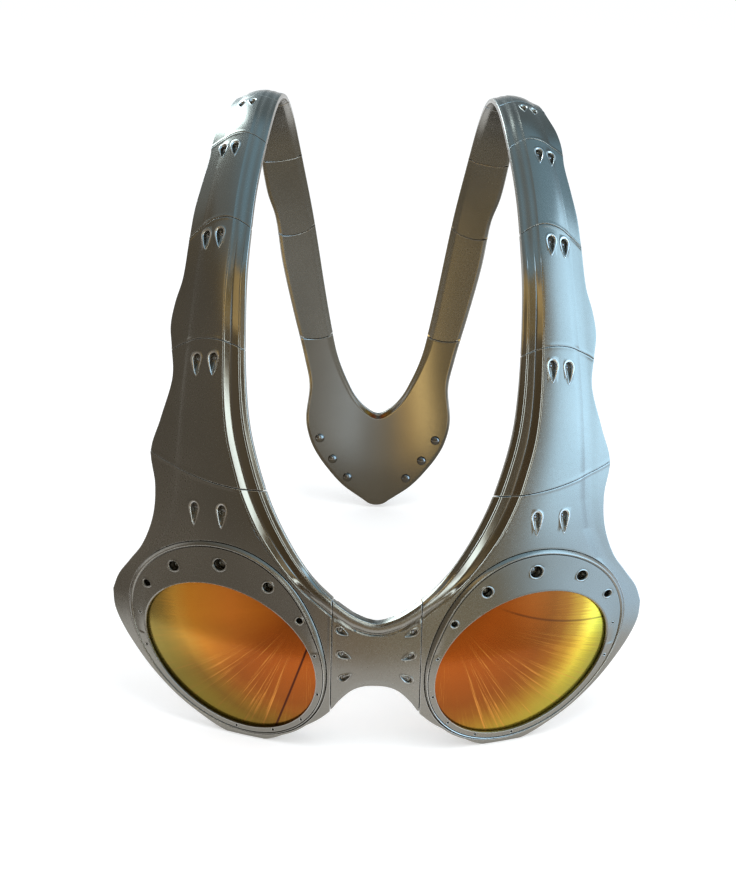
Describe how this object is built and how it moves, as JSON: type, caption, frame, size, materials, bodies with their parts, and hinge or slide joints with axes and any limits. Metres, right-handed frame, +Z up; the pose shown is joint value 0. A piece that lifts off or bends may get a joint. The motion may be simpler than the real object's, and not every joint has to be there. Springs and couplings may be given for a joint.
{
  "type": "sports sunglasses",
  "caption": "Over-the-head sports sunglasses: mirrored oval lenses in wrap-round orbital plates, with sprung segmented arms that run over the crown to a plate behind the head.",
  "frame": {"origin": "middle of the bounding box's underside, on the level that the glasses stand on", "axes": "+Z up, lenses facing -Y, arms running back to +Y; left and right in names are as seen from the front, so left is -X"},
  "size_m": [0.1506, 0.1957, 0.1671],
  "materials": {
    "frame": "satin pewter-coloured metallic paint over moulded nylon",
    "spring_steel": "plain spring steel",
    "pin": "bright turned metal",
    "lens": "orange-to-yellow iridescent mirror coating on a moulded lens",
    "pad": "soft matt black"
  },
  "bodies": {
    "front": {"bridge": "frame", "bridge_strap": "spring_steel", "orbital_left": "frame", "bezel_left": "frame", "lens_left": "lens", "nose_pad_left": "pad", "bezel_screw_left_1": "pin", "bezel_screw_left_2": "pin", "bezel_screw_left_3": "pin", "link_left_1": "spring_steel", "orbital_right": "frame", "bezel_right": "frame", "lens_right": "lens", "nose_pad_right": "pad", "bezel_screw_right_1": "pin", "bezel_screw_right_2": "pin", "bezel_screw_right_3": "pin", "link_right_1": "spring_steel"},
    "left_1": {"arm_left_1": "frame", "link_left_2": "spring_steel"},
    "left_2": {"arm_left_2": "frame", "link_left_3": "spring_steel"},
    "left_3": {"arm_left_3": "frame", "link_left_4": "spring_steel"},
    "left_4": {"arm_left_4": "frame", "link_left_5": "spring_steel"},
    "left_5": {"arm_left_5": "frame", "link_left_6": "spring_steel"},
    "left_6": {"arm_left_6": "frame", "link_left_7": "spring_steel"},
    "left_7": {"arm_left_7": "frame", "link_left_8": "spring_steel"},
    "left_8": {"arm_left_8": "frame", "link_left_9": "spring_steel"},
    "right_1": {"arm_right_1": "frame", "link_right_2": "spring_steel"},
    "right_2": {"arm_right_2": "frame", "link_right_3": "spring_steel"},
    "right_3": {"arm_right_3": "frame", "link_right_4": "spring_steel"},
    "right_4": {"arm_right_4": "frame", "link_right_5": "spring_steel"},
    "right_5": {"arm_right_5": "frame", "link_right_6": "spring_steel"},
    "right_6": {"arm_right_6": "frame", "link_right_7": "spring_steel"},
    "right_7": {"arm_right_7": "frame", "link_right_8": "spring_steel"},
    "right_8": {"arm_right_8": "frame", "link_right_9": "spring_steel"},
    "rear": {"rear_plate": "frame", "rear_pin_left_1": "pin", "rear_pin_left_2": "pin", "rear_pin_left_3": "pin", "rear_pin_right_1": "pin", "rear_pin_right_2": "pin", "rear_pin_right_3": "pin"}
  },
  "joints": [
    {"name": "flex_left_1", "type": "hinge", "parent": "front", "child": "left_1", "pos_m": [-0.04784, -0.07793, 0.07295], "axis": [1, 0, 0], "range_deg": [-0.4, 1.5], "stiffness_Nm_per_rad": 2.5},
    {"name": "flex_left_2", "type": "hinge", "parent": "left_1", "child": "left_2", "pos_m": [-0.04802, -0.06625, 0.10919], "axis": [1, 0, 0], "range_deg": [-0.4, 1.5], "stiffness_Nm_per_rad": 2.5},
    {"name": "flex_left_3", "type": "hinge", "parent": "left_2", "child": "left_3", "pos_m": [-0.04613, -0.04944, 0.13805], "axis": [1, 0, 0], "range_deg": [-0.4, 1.5], "stiffness_Nm_per_rad": 2.5},
    {"name": "flex_left_4", "type": "hinge", "parent": "left_3", "child": "left_4", "pos_m": [-0.04375, -0.02699, 0.1568], "axis": [1, 0, 0], "range_deg": [-0.4, 1.5], "stiffness_Nm_per_rad": 2.5},
    {"name": "flex_left_5", "type": "hinge", "parent": "left_4", "child": "left_5", "pos_m": [-0.04033, -0.00408, 0.16372], "axis": [1, 0, 0], "range_deg": [-0.4, 1.5], "stiffness_Nm_per_rad": 2.5},
    {"name": "flex_left_6", "type": "hinge", "parent": "left_5", "child": "left_6", "pos_m": [-0.03768, 0.02381, 0.1598], "axis": [1, 0, 0], "range_deg": [-0.4, 1.5], "stiffness_Nm_per_rad": 2.5},
    {"name": "flex_left_7", "type": "hinge", "parent": "left_6", "child": "left_7", "pos_m": [-0.03507, 0.05312, 0.13793], "axis": [1, 0, 0], "range_deg": [-0.4, 1.5], "stiffness_Nm_per_rad": 2.5},
    {"name": "flex_left_8", "type": "hinge", "parent": "left_7", "child": "left_8", "pos_m": [-0.03051, 0.07249, 0.10878], "axis": [1, 0, 0], "range_deg": [-0.4, 1.5], "stiffness_Nm_per_rad": 2.5},
    {"name": "flex_left_9", "type": "hinge", "parent": "left_8", "child": "rear", "pos_m": [-0.0237, 0.08805, 0.06714], "axis": [1, 0, 0], "range_deg": [-0.4, 1.5], "stiffness_Nm_per_rad": 2.5},
    {"name": "flex_right_1", "type": "hinge", "parent": "front", "child": "right_1", "pos_m": [0.04784, -0.07793, 0.07295], "axis": [1, 0, 0], "range_deg": [-0.4, 1.5], "stiffness_Nm_per_rad": 2.5},
    {"name": "flex_right_2", "type": "hinge", "parent": "right_1", "child": "right_2", "pos_m": [0.04802, -0.06625, 0.10919], "axis": [1, 0, 0], "range_deg": [-0.4, 1.5], "stiffness_Nm_per_rad": 2.5},
    {"name": "flex_right_3", "type": "hinge", "parent": "right_2", "child": "right_3", "pos_m": [0.04613, -0.04944, 0.13805], "axis": [1, 0, 0], "range_deg": [-0.4, 1.5], "stiffness_Nm_per_rad": 2.5},
    {"name": "flex_right_4", "type": "hinge", "parent": "right_3", "child": "right_4", "pos_m": [0.04375, -0.02699, 0.1568], "axis": [1, 0, 0], "range_deg": [-0.4, 1.5], "stiffness_Nm_per_rad": 2.5},
    {"name": "flex_right_5", "type": "hinge", "parent": "right_4", "child": "right_5", "pos_m": [0.04033, -0.00408, 0.16372], "axis": [1, 0, 0], "range_deg": [-0.4, 1.5], "stiffness_Nm_per_rad": 2.5},
    {"name": "flex_right_6", "type": "hinge", "parent": "right_5", "child": "right_6", "pos_m": [0.03768, 0.02381, 0.1598], "axis": [1, 0, 0], "range_deg": [-0.4, 1.5], "stiffness_Nm_per_rad": 2.5},
    {"name": "flex_right_7", "type": "hinge", "parent": "right_6", "child": "right_7", "pos_m": [0.03507, 0.05312, 0.13793], "axis": [1, 0, 0], "range_deg": [-0.4, 1.5], "stiffness_Nm_per_rad": 2.5},
    {"name": "flex_right_8", "type": "hinge", "parent": "right_7", "child": "right_8", "pos_m": [0.03051, 0.07249, 0.10878], "axis": [1, 0, 0], "range_deg": [-0.4, 1.5], "stiffness_Nm_per_rad": 2.5}
  ],
  "couplings": [
    {"joint": "flex_left_2", "follows": "flex_left_1", "ratio": 1},
    {"joint": "flex_left_3", "follows": "flex_left_1", "ratio": 1},
    {"joint": "flex_left_4", "follows": "flex_left_1", "ratio": 1},
    {"joint": "flex_left_5", "follows": "flex_left_1", "ratio": 1},
    {"joint": "flex_left_6", "follows": "flex_left_1", "ratio": 1},
    {"joint": "flex_left_7", "follows": "flex_left_1", "ratio": 1},
    {"joint": "flex_left_8", "follows": "flex_left_1", "ratio": 1},
    {"joint": "flex_left_9", "follows": "flex_left_1", "ratio": 1},
    {"joint": "flex_right_1", "follows": "flex_left_1", "ratio": 1},
    {"joint": "flex_right_2", "follows": "flex_left_1", "ratio": 1},
    {"joint": "flex_right_3", "follows": "flex_left_1", "ratio": 1},
    {"joint": "flex_right_4", "follows": "flex_left_1", "ratio": 1},
    {"joint": "flex_right_5", "follows": "flex_left_1", "ratio": 1},
    {"joint": "flex_right_6", "follows": "flex_left_1", "ratio": 1},
    {"joint": "flex_right_7", "follows": "flex_left_1", "ratio": 1},
    {"joint": "flex_right_8", "follows": "flex_left_1", "ratio": 1}
  ]
}
